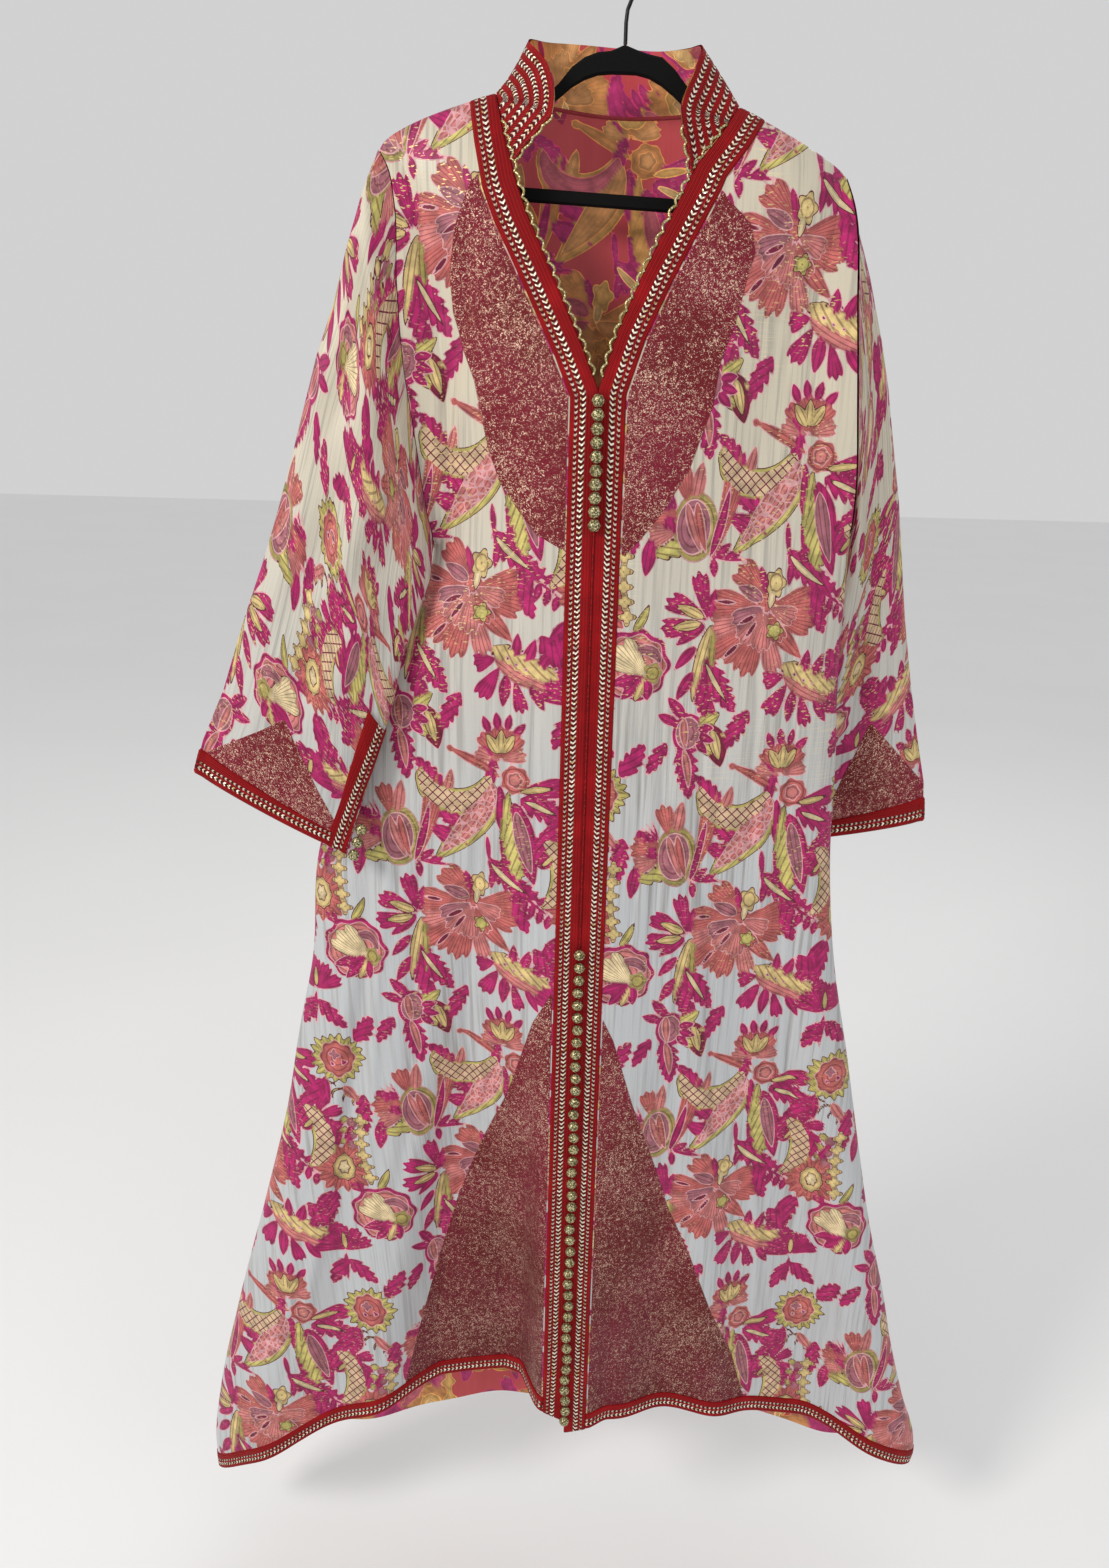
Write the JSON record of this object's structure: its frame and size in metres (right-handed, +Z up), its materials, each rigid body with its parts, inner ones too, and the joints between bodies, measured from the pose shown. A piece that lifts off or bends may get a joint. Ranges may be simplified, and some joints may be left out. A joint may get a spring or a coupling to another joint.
{
  "type": "moroccan kaftan on a hanger",
  "caption": "Long brocade kaftan with a stand collar, V neck, braid-edged front with knotted buttons, and slit sleeves, hanging on a slim hanger.",
  "frame": {"origin": "inner crown of the hanger's hook, where the rail bears", "axes": "+Z up, the garment's front faces -Y, +X is the right side of a viewer who stands before it"},
  "size_m": [0.9131, 0.176, 1.7486],
  "materials": {
    "brocade": "satin-ground floral brocade with metal thread",
    "braid": "corded braid with gold thread",
    "gold": "knotted gold cord",
    "hanger": "flocked black",
    "hook": "dark wire"
  },
  "bodies": {
    "root": {"back": "brocade", "button_01": "gold", "button_02": "gold", "button_03": "gold", "button_04": "gold", "button_05": "gold", "button_06": "gold", "button_07": "gold", "button_08": "gold", "button_09": "gold", "button_10": "gold", "button_cuff_left_1": "gold", "button_cuff_left_2": "gold", "button_cuff_left_3": "gold", "button_cuff_right_1": "gold", "button_cuff_right_2": "gold", "button_cuff_right_3": "gold", "buttons_lower_row": "gold", "collar": "braid", "cuff_braid_left": "braid", "cuff_braid_right": "braid", "front_band_left": "braid", "front_band_right": "braid", "front_left": "brocade", "front_right": "brocade", "hanger_frame": "hanger", "hanger_hook": "hook", "hem_braid_back": "braid", "hem_braid_front_left": "braid", "hem_braid_front_right": "braid", "sleeve_left": "brocade", "sleeve_right": "brocade", "slit_braid_left_back": "braid", "slit_braid_left_front": "braid", "slit_braid_right_back": "braid", "slit_braid_right_front": "braid"}
  },
  "joints": []
}
